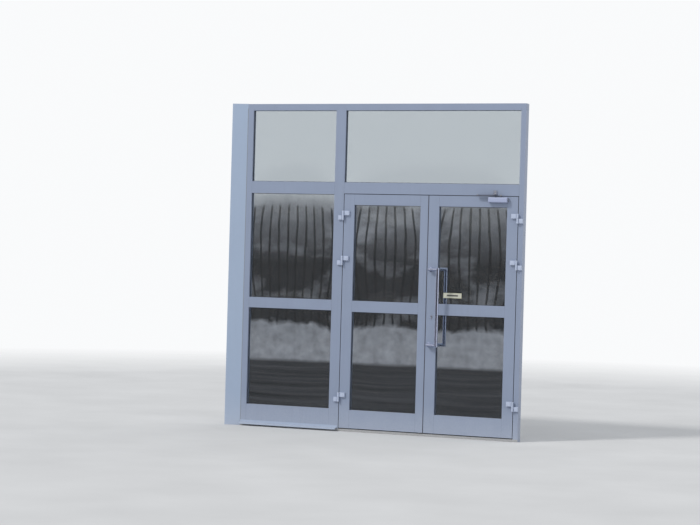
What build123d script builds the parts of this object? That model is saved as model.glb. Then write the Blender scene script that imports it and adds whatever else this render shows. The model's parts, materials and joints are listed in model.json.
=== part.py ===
from build123d import *
import os
from math import cos, radians, sin

# Glazed aluminium entrance set: two leaves that open outwards, a side light and two top lights.
# X runs to the right seen from outside, Y runs into the building, Z up from the underside of the sill.

# Overall places
opening_half = 821.0        # from the middle of the doorway to each jamb
opening_top = 2138.0        # underside of the transom over the leaves
side_transom_drop = 8.0     # how far the side light's transom reaches below the doorway's
transom_height = 101.0
top_light_height = 646.0
head_height = 60.0
jamb_face = 46.0
mullion_face = 94.0
side_glass_width = 820.0
side_stile_face = 56.0
side_bottom_rail_face = 176.0
side_middle_rail_face = 95.0
side_lower_glass_height = 885.0
threshold_height = 22.0

# Sections of the bars
face = -35.0                # outer face of frame and leaves
leaf_depth = 60.0
frame_depth = 75.0
wall = 2.0
glass_cover = 20.0          # how far the outer lip covers the glass rebate
lip_depth = 22.0
stop_reach = 18.0
stop_thickness = 10.0
upstand_height = 18.0

# Leaves
hinge_gap = 6.0
meeting_gap = 9.0
leaf_top_gap = 6.0
leaf_bottom_gap = 8.0
meeting_line = -10.0        # middle of the meeting gap, from the middle of the doorway
hinge_stile_face = 98.0
left_meeting_face = 71.0
right_meeting_face = 95.0
top_rail_face = 95.0
middle_rail_face = 100.0
bottom_rail_face = 165.0
leaf_lower_glass_height = 882.0

# Glazing
pane_thickness = 4.0
pane_space = 12.0
outer_gasket = 4.0
inner_gasket = 3.0
glass_bite = 14.0
gasket_sight = 3.0
spacer_width = 9.0
spacer_inset = 2.0
bead_wall = 1.5
bead_slope = 5.0

# Corner post
post_face = 145.0
post_turn = 15.0
post_depth = 75.0
post_wall = 2.5

# Sill under the side light
sill_sheet = 1.5
sill_reach = 45.0
sill_upturn = 20.0
sill_drip = 12.0
sill_fall = 3.0
sill_level = 30.0
sill_end_gap = 10.0         # from the sill's end to the doorway

# Hinges
knuckle_radius = 9.0
hinge_standoff = 20.0       # from the outer face to the hinge axis
hinge_pin_radius = 4.0
running_clearance = 0.1
hinge_block_height = 41.0
leaf_wing_length = 60.0
frame_wing_length = 48.0
hinge_wing_thickness = 17.0
hinge_neck_thickness = 14.0
hinge_groove = 2.5
hinge_edge_chamfer = 2.5
hinge_block_gap = 0.5
pin_below_top = 2.0
lower_hinge_height = 307.0
middle_hinge_height = 1536.0
upper_hinge_height = 1942.0

# Pull handles
handle_radius = 16.0
handle_wall = 2.0
handle_foot_height = 811.0
handle_spacing = 669.0
handle_inset = 33.0         # from the leaf's meeting edge to the foot
handle_offset = 93.0
handle_projection = 85.0
handle_stub = 30.0
foot_radius = 21.0
foot_thickness = 5.0
stud_radius = 4.0

# Lock
lock_level = 1065.0
lock_backset = 50.0
cylinder_radius = 8.5
cylinder_leg_width = 10.0
cylinder_height = 33.0
cylinder_proud = 3.0
plug_radius = 6.5
keyway_width = 2.0
keyway_height = 8.0
case_height = 165.0
case_width = 70.0
case_thickness = 24.0
case_above_lock = 75.0
faceplate_thickness = 3.0
faceplate_length = 215.0
faceplate_width = 26.0
bolt_height = 34.0
bolt_thickness = 14.0
bolt_length = 44.0
bolt_above_lock = 42.0
slide_clearance = 0.3
strike_clearance = 1.5

# Flush bolts
rod_radius = 6.0
rod_length = 300.0
rod_travel = 18.0
rod_inset = 27.0            # from the left leaf's meeting edge to the rod
rod_from_face = 38.0
guide_thickness = 4.0
keep_wall = 2.5
keep_clearance = 0.6
tab_height = 12.0
tab_thickness = 6.0
tab_proud = 2.0
tab_from_end = 240.0

# Seals
stop_seal_width = 10.0
seal_clearance = 0.3
brush_width = 6.0
brush_reach = 3.4
brush_clearance = 0.5

# Door closer
closer_length = 175.0
closer_height = 46.0
closer_thickness = 45.0
closer_from_hinge = 91.0    # from the hinge axis to the near end of the body
closer_below_top = 8.0
closer_round = 9.0
spindle_radius = 7.0
spindle_depth = 12.0
arm_width = 22.0
arm_thickness = 5.0
arm_over_leaf = 1.5         # clearance of the arm above the leaf's top
arm_gap = 1.5
pivot_radius = 5.0
spindle_from_hinge = 153.0
spindle_from_face = 23.0
shoe_from_hinge = 213.0
shoe_from_face = 27.0
shoe_width = 36.0
shoe_height = 38.0
shoe_plate = 5.0
shoe_lug = 6.0

# Printed film on the upper right pane
film_from_stile = 51.0
film_width = 170.0
film_height = 46.0
film_above_rail = 53.0
film_thickness = 0.3

# Fixing holes through the right jamb and its stop profile
fixing_radius = 5.25
fixing_count = 4
fixing_spacing = 800.0
fixing_lowest = 200.0

# Places that follow from the sizes
leaf_back = face + leaf_depth
frame_back = face + frame_depth
lip_back = face + lip_depth
glass_front = lip_back + outer_gasket
glass_back = glass_front + 2 * pane_thickness + pane_space
bead_front = glass_back + inner_gasket
leaf_middle = (face + leaf_back) / 2

transom_top = opening_top + transom_height
side_glass_top = opening_top - side_transom_drop
head_bottom = transom_top + top_light_height
total_height = head_bottom + head_height
jamb_right = opening_half + jamb_face
mullion_left = -opening_half - mullion_face
side_left = mullion_left - side_glass_width
frame_left = side_left - side_stile_face

side_bottom_top = threshold_height + side_bottom_rail_face
side_middle_low = side_bottom_top + side_lower_glass_height
side_middle_top = side_middle_low + side_middle_rail_face

leaf_bottom = threshold_height + leaf_bottom_gap
leaf_top = opening_top - leaf_top_gap
leaf_bottom_top = leaf_bottom + bottom_rail_face
leaf_middle_low = leaf_bottom_top + leaf_lower_glass_height
leaf_middle_top = leaf_middle_low + middle_rail_face
leaf_top_low = leaf_top - top_rail_face

left_hinge_edge = -opening_half + hinge_gap
left_meeting_edge = meeting_line - meeting_gap / 2
right_meeting_edge = meeting_line + meeting_gap / 2
right_hinge_edge = opening_half - hinge_gap
hinge_axis_x = opening_half - hinge_gap / 2
hinge_axis_y = face - hinge_standoff
hinge_levels = (lower_hinge_height, middle_hinge_height, upper_hinge_height)


def rect(u_low, u_high, v_low, v_high):
    middle = Pos((u_low + u_high) / 2, (v_low + v_high) / 2)
    return middle * Rectangle(u_high - u_low, v_high - v_low)


def block(x_low, x_high, y_low, y_high, z_low, z_high):
    middle = Pos((x_low + x_high) / 2, (y_low + y_high) / 2, (z_low + z_high) / 2)
    return middle * Box(x_high - x_low, y_high - y_low, z_high - z_low)


def upright(section, z_low, z_high):
    # A section drawn in X and Y, run up from z_low to z_high.
    return extrude(Pos(0, 0, z_low) * section, amount=z_high - z_low)


def level(section, x_low, x_high):
    # A section drawn with Z first and Y second, run along X.
    plane = Plane((x_high, 0, 0), x_dir=(0, 0, 1), z_dir=(-1, 0, 0))
    return extrude(plane * section, amount=x_high - x_low)


def through(x, z, radius, y_low, y_high):
    # A round rod along Y.
    plane = Plane((x, y_low, z), x_dir=(1, 0, 0), z_dir=(0, 1, 0))
    return extrude(plane * Circle(radius), amount=y_high - y_low)


def rod(x, y, radius, z_low, z_high):
    return extrude(Pos(x, y, z_low) * Circle(radius), amount=z_high - z_low)


def bar_section(low, high, back, lip_low, lip_high):
    # Hollow bar with an outer lip on each side that holds glass.
    body_low = low + glass_cover if lip_low else low
    body_high = high - glass_cover if lip_high else high
    section = rect(body_low, body_high, face, back)
    if lip_low:
        section += rect(low, body_low, face, lip_back)
        section -= rect(low + wall, body_low, face + wall, lip_back - wall)
    if lip_high:
        section += rect(body_high, high, face, lip_back)
        section -= rect(body_high, high - wall, face + wall, lip_back - wall)
    return section - rect(body_low + wall, body_high - wall, face + wall, back - wall)


def rail(low, high, back, x_low, x_high, lip_low, lip_high):
    # A rail between two glass edges: its body meets the uprights, its front is cut back to their lips.
    bar = level(bar_section(low, high, back, lip_low, lip_high), x_low - glass_cover, x_high + glass_cover)
    bar -= block(x_low - glass_cover, x_low, face, lip_back, low, high)
    bar -= block(x_high, x_high + glass_cover, face, lip_back, low, high)
    return bar


def ring(opening, outer, inner, y_low, y_high):
    # A flat frame around an opening, reaching outer beyond it and inner into it.
    x_low, x_high, z_low, z_high = opening
    whole = block(x_low - outer, x_high + outer, y_low, y_high, z_low - outer, z_high + outer)
    hole = block(x_low + inner, x_high - inner, y_low, y_high, z_low + inner, z_high - inner)
    return whole - hole


def glass_unit(opening):
    x_low, x_high, z_low, z_high = opening
    panes = []
    for front in (glass_front, glass_back - pane_thickness):
        panes.append(
            block(
                x_low - glass_bite, x_high + glass_bite, front, front + pane_thickness,
                z_low - glass_bite, z_high + glass_bite,
            )
        )
    return panes


def glass_spacer(opening):
    outer = glass_bite - spacer_inset
    return ring(opening, outer, spacer_width - outer, glass_front + pane_thickness, glass_back - pane_thickness)


def gaskets(opening):
    reach = glass_bite + 2 * wall
    return [
        ring(opening, glass_bite, gasket_sight, lip_back, glass_front),
        ring(opening, reach, gasket_sight, glass_back, bead_front),
    ]


def bead_section(line, way, back):
    # Hollow bead with a sloped edge at the glass; line is the sight line, way points to the rebate.
    points = [
        (line, bead_front),
        (line, back - bead_slope),
        (line + way * bead_slope, back),
        (line + way * glass_cover, back),
        (line + way * glass_cover, bead_front),
    ]
    near = line + way * bead_wall
    far = line + way * (glass_cover - bead_wall)
    hollow = rect(min(near, far), max(near, far), bead_front + bead_wall, back - bead_slope - bead_wall / 2)
    return make_face(Polyline(*points, close=True)) - hollow


def beads(opening, back):
    x_low, x_high, z_low, z_high = opening
    return [
        upright(bead_section(x_low, -1, back), z_low - glass_cover, z_high + glass_cover),
        upright(bead_section(x_high, 1, back), z_low - glass_cover, z_high + glass_cover),
        level(bead_section(z_low, -1, back), x_low, x_high),
        level(bead_section(z_high, 1, back), x_low, x_high),
    ]


def glaze(prefix, openings, back, nodes):
    # Beads, gaskets and spacers of several openings, each kind kept together.
    nodes[prefix + "_glass_spacers"] = [glass_spacer(opening) for opening in openings]
    nodes[prefix + "_seals"] = [piece for opening in openings for piece in gaskets(opening)]
    nodes[prefix + "_glazing_beads"] = [piece for opening in openings for piece in beads(opening, back)]


rod_x = left_meeting_edge - rod_inset
rod_y = face + rod_from_face
keep_bore = rod_radius + keep_clearance
keep_radius = keep_bore + keep_wall


def fixing_holes():
    holes = []
    for number in range(fixing_count):
        level_z = fixing_lowest + number * fixing_spacing
        plane = Plane((opening_half, 0, level_z), x_dir=(0, 1, 0), z_dir=(1, 0, 0))
        holes.append(extrude(plane * Circle(fixing_radius), amount=jamb_face))
    return holes


def frame_nodes():
    nodes = {}
    # Corner post, turned towards the doorway side
    turn = radians(post_turn)
    front_left = (frame_left - post_face * cos(turn), face - post_face * sin(turn))
    back_left = (front_left[0] - post_depth * sin(turn), front_left[1] + post_depth * cos(turn))
    outline = Polyline((frame_left, face), front_left, back_left, (frame_left, frame_back), close=True)
    post = make_face(outline)
    post -= offset(post, amount=-post_wall)
    nodes["corner_post"] = upright(post, 0, total_height)

    # Uprights stand on the threshold and reach the head's body
    upright_top = head_bottom + glass_cover
    stile = bar_section(frame_left, side_left, frame_back, False, True)
    mullion = bar_section(mullion_left, -opening_half, frame_back, True, True)
    jamb = bar_section(opening_half, jamb_right, frame_back, True, False)
    nodes["side_light_stile"] = upright(stile, threshold_height, upright_top)
    nodes["mullion"] = upright(mullion, threshold_height, upright_top)
    fixings = fixing_holes()
    nodes["right_jamb"] = upright(jamb, threshold_height, upright_top) - fixings

    # Head, whose front lip stops at each upright
    head = level(bar_section(head_bottom, total_height, frame_back, True, False), frame_left, jamb_right)
    for x_low, x_high in ((frame_left, side_left), (mullion_left, -opening_half), (opening_half, jamb_right)):
        head -= block(x_low, x_high, face, lip_back, head_bottom, upright_top)
    nodes["head_rail"] = head

    # Rails
    side = (side_left, mullion_left)
    door = (-opening_half, opening_half)
    nodes["transom_left"] = rail(side_glass_top, transom_top, frame_back, *side, True, True)
    nodes["transom_right"] = rail(opening_top, transom_top, frame_back, *door, True, True)
    nodes["side_light_middle_rail"] = rail(side_middle_low, side_middle_top, frame_back, *side, True, True)
    nodes["side_light_bottom_rail"] = rail(threshold_height, side_bottom_top, frame_back, *side, False, True)

    # Threshold, with an upstand behind the leaves
    sill = rect(0, threshold_height, face, frame_back)
    sill -= rect(wall, threshold_height - wall, face + wall, frame_back - wall)
    threshold = level(sill, frame_left, jamb_right)
    upstand_half = opening_half - stop_reach
    threshold += block(
        -upstand_half, upstand_half, frame_back - stop_thickness, frame_back,
        threshold_height, threshold_height + upstand_height,
    )
    threshold -= rod(rod_x, rod_y, keep_radius, threshold_height - wall, threshold_height)
    nodes["threshold"] = threshold

    # Folded sill under the side light
    outer = face - sill_reach
    sheet = Polyline(
        (sill_level + sill_upturn, face),
        (sill_level, face),
        (sill_level - sill_fall, outer),
        (sill_level - sill_fall - sill_drip, outer),
        (sill_level - sill_fall - sill_drip, outer - sill_sheet),
        (sill_level - sill_fall + sill_sheet, outer - sill_sheet),
        (sill_level + sill_sheet, face - sill_sheet),
        (sill_level + sill_upturn, face - sill_sheet),
        close=True,
    )
    nodes["side_light_sill"] = level(make_face(sheet), frame_left, -opening_half - sill_end_gap)

    # Door stop profiles clip behind the lips around the doorway
    stop_top = opening_top + glass_cover
    stop_front = frame_back - stop_thickness
    for name, edge, way in (("left", -opening_half, -1), ("right", opening_half, 1)):
        body = sorted((edge, edge + way * glass_cover))
        foot = sorted((edge - way * stop_reach, edge))
        section = rect(*body, lip_back, frame_back) + rect(*foot, stop_front, frame_back)
        section -= rect(body[0] + wall, body[1] - wall, lip_back + wall, stop_front - wall)
        nodes["stop_profile_" + name] = upright(section, threshold_height, opening_top - stop_reach) - fixings
    body = rect(opening_top, stop_top, lip_back, frame_back)
    foot = rect(opening_top - stop_reach, opening_top, stop_front, frame_back)
    section = body + foot - rect(opening_top + wall, stop_top - wall, lip_back + wall, stop_front - wall)
    reach = opening_half + glass_cover
    top_stop = level(section, -reach, reach)
    for side_x in (-reach, opening_half):
        top_stop -= block(
            side_x, side_x + glass_cover, lip_back, frame_back, opening_top - stop_reach, opening_top
        )
    nodes["stop_profile_top"] = top_stop - rod(rod_x, rod_y, keep_radius, opening_top, opening_top + wall)

    # Glass, its spacers, gaskets and beads
    lights = {
        "top_light_glass_left": (*side, transom_top, head_bottom),
        "top_light_glass_right": (*door, transom_top, head_bottom),
        "side_light_glass_upper": (*side, side_middle_top, side_glass_top),
        "side_light_glass_lower": (*side, side_bottom_top, side_middle_low),
    }
    for name, opening in lights.items():
        nodes[name] = glass_unit(opening)
    glaze("frame", lights.values(), frame_back, nodes)

    # Rubber seal on the stops, behind the leaves
    seal_front = leaf_back + seal_clearance
    inner_half = opening_half - stop_reach + stop_seal_width
    inner_top = opening_top - stop_reach + stop_seal_width
    seal_low = threshold_height + upstand_height
    around = block(-inner_half, inner_half, seal_front, stop_front, seal_low - stop_seal_width, inner_top)
    around -= block(
        -inner_half + stop_seal_width, inner_half - stop_seal_width, seal_front, stop_front,
        seal_low, inner_top - stop_seal_width,
    )
    nodes["frame_seals"].append(around)

    nodes["flush_bolt_keeps"] = [
        rod(rod_x, rod_y, keep_radius, opening_top, stop_top - wall)
        - rod(rod_x, rod_y, keep_bore, opening_top, stop_top - wall),
        rod(rod_x, rod_y, keep_radius, wall, threshold_height)
        - rod(rod_x, rod_y, keep_bore, wall, threshold_height),
    ]
    return nodes


def hinge_section(way, wing_length, bore):
    # A knuckle about the axis, a neck, and a thick wing on the flat face; way is where the wing points.
    wing_start = knuckle_radius + hinge_groove
    wing_front = hinge_standoff - hinge_wing_thickness
    neck_front = hinge_standoff - hinge_neck_thickness
    wing = rect(wing_start, wing_length, wing_front, hinge_standoff)
    front_corners = wing.vertices().group_by(Axis.Y)[0]
    wing = chamfer(front_corners, length=hinge_edge_chamfer)
    section = Circle(knuckle_radius) + rect(0, wing_start, neck_front, hinge_standoff) + wing
    section -= Circle(bore)
    return section if way > 0 else mirror(section, about=Plane.YZ)


def add_hinges(frame_group, left_group, right_group):
    # Each hinge is a leaf half above a frame half on one pin, which is fixed in the frame half.
    frame_blocks = []
    pins = []
    leaf_bore = hinge_pin_radius + running_clearance
    for side_x, way, leaf_group, name in (
        (-hinge_axis_x, 1, left_group, "left_hinge_blocks"),
        (hinge_axis_x, -1, right_group, "right_hinge_blocks"),
    ):
        place = Pos(side_x, hinge_axis_y, 0)
        leaf_half = place * hinge_section(way, leaf_wing_length, leaf_bore)
        frame_half = place * hinge_section(-way, frame_wing_length, hinge_pin_radius)
        leaf_group[name] = []
        for middle in hinge_levels:
            low = middle - hinge_block_height
            high = middle + hinge_block_height
            leaf_group[name].append(upright(leaf_half, middle + hinge_block_gap, high))
            frame_blocks.append(upright(frame_half, low, middle))
            pins.append(rod(side_x, hinge_axis_y, hinge_pin_radius, low, high - pin_below_top))
    frame_group["hinge_frame_blocks"] = frame_blocks
    frame_group["hinge_pins"] = pins


def leaf_bars(prefix, x_low, x_high, low_face, high_face):
    nodes = {}
    names = ("hinge", "meeting") if prefix == "left" else ("meeting", "hinge")
    glass_low = x_low + low_face
    glass_high = x_high - high_face
    low_section = bar_section(x_low, glass_low, leaf_back, False, True)
    high_section = bar_section(glass_high, x_high, leaf_back, True, False)
    nodes[prefix + "_" + names[0] + "_stile"] = upright(low_section, leaf_bottom, leaf_top)
    nodes[prefix + "_" + names[1] + "_stile"] = upright(high_section, leaf_bottom, leaf_top)
    span = (glass_low, glass_high)
    nodes[prefix + "_top_rail"] = rail(leaf_top_low, leaf_top, leaf_back, *span, True, False)
    nodes[prefix + "_middle_rail"] = rail(leaf_middle_low, leaf_middle_top, leaf_back, *span, True, True)
    nodes[prefix + "_bottom_rail"] = rail(leaf_bottom, leaf_bottom_top, leaf_back, *span, False, True)
    upper = (*span, leaf_middle_top, leaf_top_low)
    lower = (*span, leaf_bottom_top, leaf_middle_low)
    nodes[prefix + "_glass_upper"] = glass_unit(upper)
    nodes[prefix + "_glass_lower"] = glass_unit(lower)
    glaze(prefix, (upper, lower), leaf_back, nodes)
    return nodes


def add_brushes(nodes, name, x_low, x_high, edge, way):
    # A brush on the meeting edge near the outer face, and one under the leaf.
    brush_edges = sorted((edge, edge + way * brush_reach))
    brush_front = face + wall
    nodes[name].append(block(*brush_edges, brush_front, brush_front + brush_width, leaf_bottom, leaf_top))
    nodes[name].append(
        block(
            x_low, x_high, leaf_middle - brush_width / 2, leaf_middle + brush_width / 2,
            threshold_height + brush_clearance, leaf_bottom,
        )
    )


def left_leaf_nodes():
    nodes = leaf_bars("left", left_hinge_edge, left_meeting_edge, hinge_stile_face, left_meeting_face)
    bolt_reach = bolt_length / 2
    inner_x = left_meeting_edge - left_meeting_face + glass_cover
    brush_end = left_hinge_edge + hinge_stile_face
    add_brushes(nodes, "left_seals", brush_end, inner_x, left_meeting_edge, 1)

    # Strike plate let into the meeting edge, with the slot for the deadbolt
    stile = nodes["left_meeting_stile"]
    plate = edge_plate(left_meeting_edge - faceplate_thickness, left_meeting_edge)
    stile -= plate
    bolt_low, bolt_high = bolt_levels()
    half_slot = bolt_thickness / 2 + strike_clearance
    slot = block(
        left_meeting_edge - bolt_reach, left_meeting_edge, leaf_middle - half_slot, leaf_middle + half_slot,
        bolt_low - strike_clearance, bolt_high + strike_clearance,
    )
    strike = plate - slot

    # End guides for the flush bolts close the stile's chamber
    chamber = (inner_x + wall, left_meeting_edge - wall, face + wall, leaf_back - wall)
    guide_bore = rod_radius + running_clearance
    guides = []
    for z_low in (leaf_bottom, leaf_top - guide_thickness):
        guide = block(*chamber, z_low, z_low + guide_thickness)
        guides.append(guide - rod(rod_x, rod_y, guide_bore, z_low, z_low + guide_thickness))
    nodes["strike_and_guides"] = [strike, *guides]

    # Flush bolts with a thumb tab in a slot of the meeting edge
    for name, end, way in (("top_flush_bolt", leaf_top, 1), ("bottom_flush_bolt", leaf_bottom, -1)):
        rod_ends = sorted((end, end - way * rod_length))
        tab_middle = end - way * tab_from_end
        half_tab = tab_thickness / 2
        tab_levels = (tab_middle - tab_height / 2, tab_middle + tab_height / 2)
        tab = block(
            rod_x, left_meeting_edge + tab_proud, rod_y - half_tab, rod_y + half_tab, *tab_levels
        )
        nodes[name] = rod(rod_x, rod_y, rod_radius, *rod_ends) + tab
        slot_start = tab_middle - way * (tab_height / 2 + slide_clearance)
        slot_end = tab_middle + way * (tab_height / 2 + rod_travel + slide_clearance)
        slot_levels = sorted((slot_start, slot_end))
        stile -= block(
            left_meeting_edge - wall, left_meeting_edge,
            rod_y - half_tab - slide_clearance, rod_y + half_tab + slide_clearance, *slot_levels,
        )
    nodes["left_meeting_stile"] = stile
    return nodes


def edge_plate(x_low, x_high):
    half_width = faceplate_width / 2
    middle = lock_level + case_above_lock - case_height / 2
    half_length = faceplate_length / 2
    return block(
        x_low, x_high, leaf_middle - half_width, leaf_middle + half_width,
        middle - half_length, middle + half_length,
    )


def bolt_levels():
    middle = lock_level + bolt_above_lock
    return middle - bolt_height / 2, middle + bolt_height / 2


def cylinder_outline(extra):
    # Round head with a narrower leg below it, drawn about the plug's centre.
    leg_half = cylinder_leg_width / 2 + extra
    leg_end = cylinder_height - cylinder_radius - cylinder_leg_width / 2
    outline = Circle(cylinder_radius + extra) + rect(-leg_half, leg_half, 0, leg_end)
    return outline + Pos(0, leg_end) * Circle(leg_half)


def along_y(section, x, z, y_low, y_high):
    # A section drawn about (x, z) with its second axis pointing down, run along Y.
    plane = Plane((x, y_low, z), x_dir=(1, 0, 0), z_dir=(0, 1, 0))
    return extrude(plane * section, amount=y_high - y_low)


def right_leaf_nodes():
    nodes = leaf_bars("right", right_meeting_edge, right_hinge_edge, right_meeting_face, hinge_stile_face)
    inner_x = right_meeting_edge + right_meeting_face - glass_cover
    add_brushes(nodes, "right_seals", inner_x, right_hinge_edge - hinge_stile_face, right_meeting_edge, -1)
    stile = nodes["right_meeting_stile"]

    # Lock case behind its faceplate
    lock_x = right_meeting_edge + lock_backset
    case_top = lock_level + case_above_lock
    half_case = case_thickness / 2
    plate = edge_plate(right_meeting_edge, right_meeting_edge + faceplate_thickness)
    case_front = right_meeting_edge + faceplate_thickness
    case = block(
        case_front, right_meeting_edge + case_width, leaf_middle - half_case, leaf_middle + half_case,
        case_top - case_height, case_top,
    )
    bolt_low, bolt_high = bolt_levels()
    half_bolt = bolt_thickness / 2
    tunnel = block(
        right_meeting_edge, right_meeting_edge + bolt_length + slide_clearance,
        leaf_middle - half_bolt - slide_clearance, leaf_middle + half_bolt + slide_clearance,
        bolt_low - slide_clearance, bolt_high + slide_clearance,
    )
    bolt = block(
        right_meeting_edge, right_meeting_edge + bolt_length,
        leaf_middle - half_bolt, leaf_middle + half_bolt, bolt_low, bolt_high,
    )
    y_low = face - cylinder_proud
    y_high = leaf_back + cylinder_proud
    cylinder = along_y(cylinder_outline(0), lock_x, lock_level, y_low, y_high)
    pocket = along_y(cylinder_outline(slide_clearance), lock_x, lock_level, y_low, y_high)
    plug = through(lock_x, lock_level, plug_radius, y_low, y_high)
    cylinder -= through(lock_x, lock_level, plug_radius + running_clearance, y_low, y_high)
    keyway = block(
        lock_x - keyway_width / 2, lock_x + keyway_width / 2, y_low, y_high,
        lock_level - keyway_height / 2, lock_level + keyway_height / 2,
    )
    nodes["lock_case"] = plate + case - tunnel - pocket
    nodes["deadbolt"] = bolt
    nodes["lock_cylinder"] = cylinder
    nodes["key_plug"] = plug - keyway
    stile = stile - plate - pocket

    # Pull handles on both sides, held by studs through the stile
    handle_x = right_meeting_edge + handle_inset
    levels = (handle_foot_height, handle_foot_height + handle_spacing)
    for z in levels:
        stile -= through(handle_x, z, stud_radius, face, leaf_back)
    nodes["right_meeting_stile"] = stile
    outer = pull_handle(handle_x, face, -1, levels)
    for z in levels:
        outer += through(handle_x, z, stud_radius, face, leaf_back)
    nodes["pull_handle_outer"] = outer
    nodes["pull_handle_inner"] = pull_handle(handle_x, leaf_back, 1, levels)

    film_left = right_meeting_edge + right_meeting_face + film_from_stile
    film_low = leaf_middle_top + film_above_rail
    nodes["pane_film"] = block(
        film_left, film_left + film_width, glass_front - film_thickness, glass_front,
        film_low, film_low + film_height,
    )
    return nodes


def mitred_tube(route, outer_radius, inner_radius):
    # Straight tube runs, each cut on the plane that halves the angle at its corners.
    points = [Vector(*point) for point in route]
    runs = [(end - start).normalized() for start, end in zip(points[:-1], points[1:])]
    spare = 2 * outer_radius
    pieces = []
    for number, run in enumerate(runs):
        start = points[number]
        end = points[number + 1]
        begin = start - run * spare if number > 0 else start
        finish = end + run * spare if number < len(runs) - 1 else end
        tube = Plane(begin, z_dir=run) * (Circle(outer_radius) - Circle(inner_radius))
        piece = extrude(tube, amount=(finish - begin).length)
        if number > 0:
            piece = split(piece, bisect_by=Plane(start, z_dir=run + runs[number - 1]), keep=Keep.TOP)
        if number < len(runs) - 1:
            piece = split(piece, bisect_by=Plane(end, z_dir=run + runs[number + 1]), keep=Keep.BOTTOM)
        pieces.append(piece)
    return pieces[0].fuse(*pieces[1:])


def pull_handle(x, y, way, levels):
    # A mitred tube: out from the leaf, aside over the glass, up the grip and back, with a foot at each end.
    stub_y = y + way * handle_stub
    grip_y = y + way * handle_projection
    grip_x = x + handle_offset
    low, high = levels
    route = [
        (x, y, low), (x, stub_y, low), (grip_x, grip_y, low),
        (grip_x, grip_y, high), (x, stub_y, high), (x, y, high),
    ]
    handle = mitred_tube(route, handle_radius, handle_radius - handle_wall)
    feet = sorted((y, y + way * foot_thickness))
    for z in levels:
        handle += through(x, z, foot_radius, *feet)
    return handle


arm_low = leaf_top + arm_over_leaf
forearm_low = arm_low + arm_thickness + arm_gap
spindle_x = hinge_axis_x - spindle_from_hinge
spindle_y = face - spindle_from_face
shoe_x = hinge_axis_x - shoe_from_hinge
shoe_y = face - shoe_from_face


def link(start, end, width, z_low, z_high):
    # A flat arm with round ends.
    ends = (Pos(*start) * Circle(width / 2)).edges() + (Pos(*end) * Circle(width / 2)).edges()
    return upright(make_hull(ends), z_low, z_high)


def add_closer(frame_group, right_group):
    body_right = hinge_axis_x - closer_from_hinge
    body_top = leaf_top - closer_below_top
    body = block(
        body_right - closer_length, body_right, face - closer_thickness, face,
        body_top - closer_height, body_top,
    )
    front_edges = body.faces().sort_by(Axis.Y)[0].edges()
    body = fillet(front_edges, radius=closer_round)
    body -= rod(spindle_x, spindle_y, spindle_radius + running_clearance, body_top - spindle_depth, body_top)
    right_group["closer_body"] = body

    # The arms, the leaf and the transom form a parallelogram, so the elbow follows from the pivots
    spindle = (spindle_x, spindle_y)
    shoe = (shoe_x, shoe_y)
    joint = (spindle_x + shoe_x - hinge_axis_x, spindle_y + shoe_y - hinge_axis_y)
    arm = link(spindle, joint, arm_width, arm_low, arm_low + arm_thickness)
    arm += rod(*spindle, spindle_radius, body_top - spindle_depth + slide_clearance, arm_low)
    arm -= rod(*joint, pivot_radius + running_clearance, arm_low, arm_low + arm_thickness)
    right_group["closer_main_arm"] = arm
    forearm_high = forearm_low + arm_thickness
    forearm = link(joint, shoe, arm_width, forearm_low, forearm_high)
    forearm += rod(*joint, pivot_radius, arm_low, forearm_low)
    forearm -= rod(*shoe, pivot_radius + running_clearance, forearm_low, forearm_high)
    right_group["closer_forearm"] = forearm

    lug_low = forearm_high + arm_gap
    plate = block(
        shoe_x - shoe_width / 2, shoe_x + shoe_width / 2, face - shoe_plate, face,
        forearm_high, lug_low + shoe_height,
    )
    lug = rod(*shoe, shoe_width / 2, lug_low, lug_low + shoe_lug)
    lug += block(
        shoe_x - shoe_width / 2, shoe_x + shoe_width / 2, shoe_y, face, lug_low, lug_low + shoe_lug
    )
    pin = rod(*shoe, pivot_radius, forearm_low, lug_low)
    frame_group["closer_shoe"] = plate + lug + pin


def write(name, pieces):
    pieces = pieces if isinstance(pieces, list) else [pieces]
    solids = [solid for piece in pieces for solid in piece.solids()]
    shape = solids[0] if len(solids) == 1 else Compound(children=solids)
    shape.label = name
    export_step(shape, "parts/" + name + ".step")


os.makedirs("parts", exist_ok=True)
frame = frame_nodes()
left_leaf = left_leaf_nodes()
right_leaf = right_leaf_nodes()
add_hinges(frame, left_leaf, right_leaf)
add_closer(frame, right_leaf)
for group in (frame, left_leaf, right_leaf):
    for node_name, node_pieces in group.items():
        write(node_name, node_pieces)
print("nodes", len(frame) + len(left_leaf) + len(right_leaf))
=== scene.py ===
import json
import math

import bmesh
import bpy
from mathutils import Matrix, Vector
from mathutils.geometry import convex_hull_2d


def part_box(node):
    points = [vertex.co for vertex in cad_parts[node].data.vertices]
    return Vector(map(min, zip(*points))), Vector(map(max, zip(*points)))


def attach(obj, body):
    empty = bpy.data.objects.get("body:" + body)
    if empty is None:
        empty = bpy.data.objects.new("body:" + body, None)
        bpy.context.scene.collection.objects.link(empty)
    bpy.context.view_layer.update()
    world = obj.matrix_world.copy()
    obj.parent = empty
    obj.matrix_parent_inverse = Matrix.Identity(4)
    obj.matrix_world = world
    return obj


# Glazed aluminium entrance: finishes, small fittings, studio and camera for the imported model.
# Metres, X right seen from outside, Y into the building, Z up.

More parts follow.
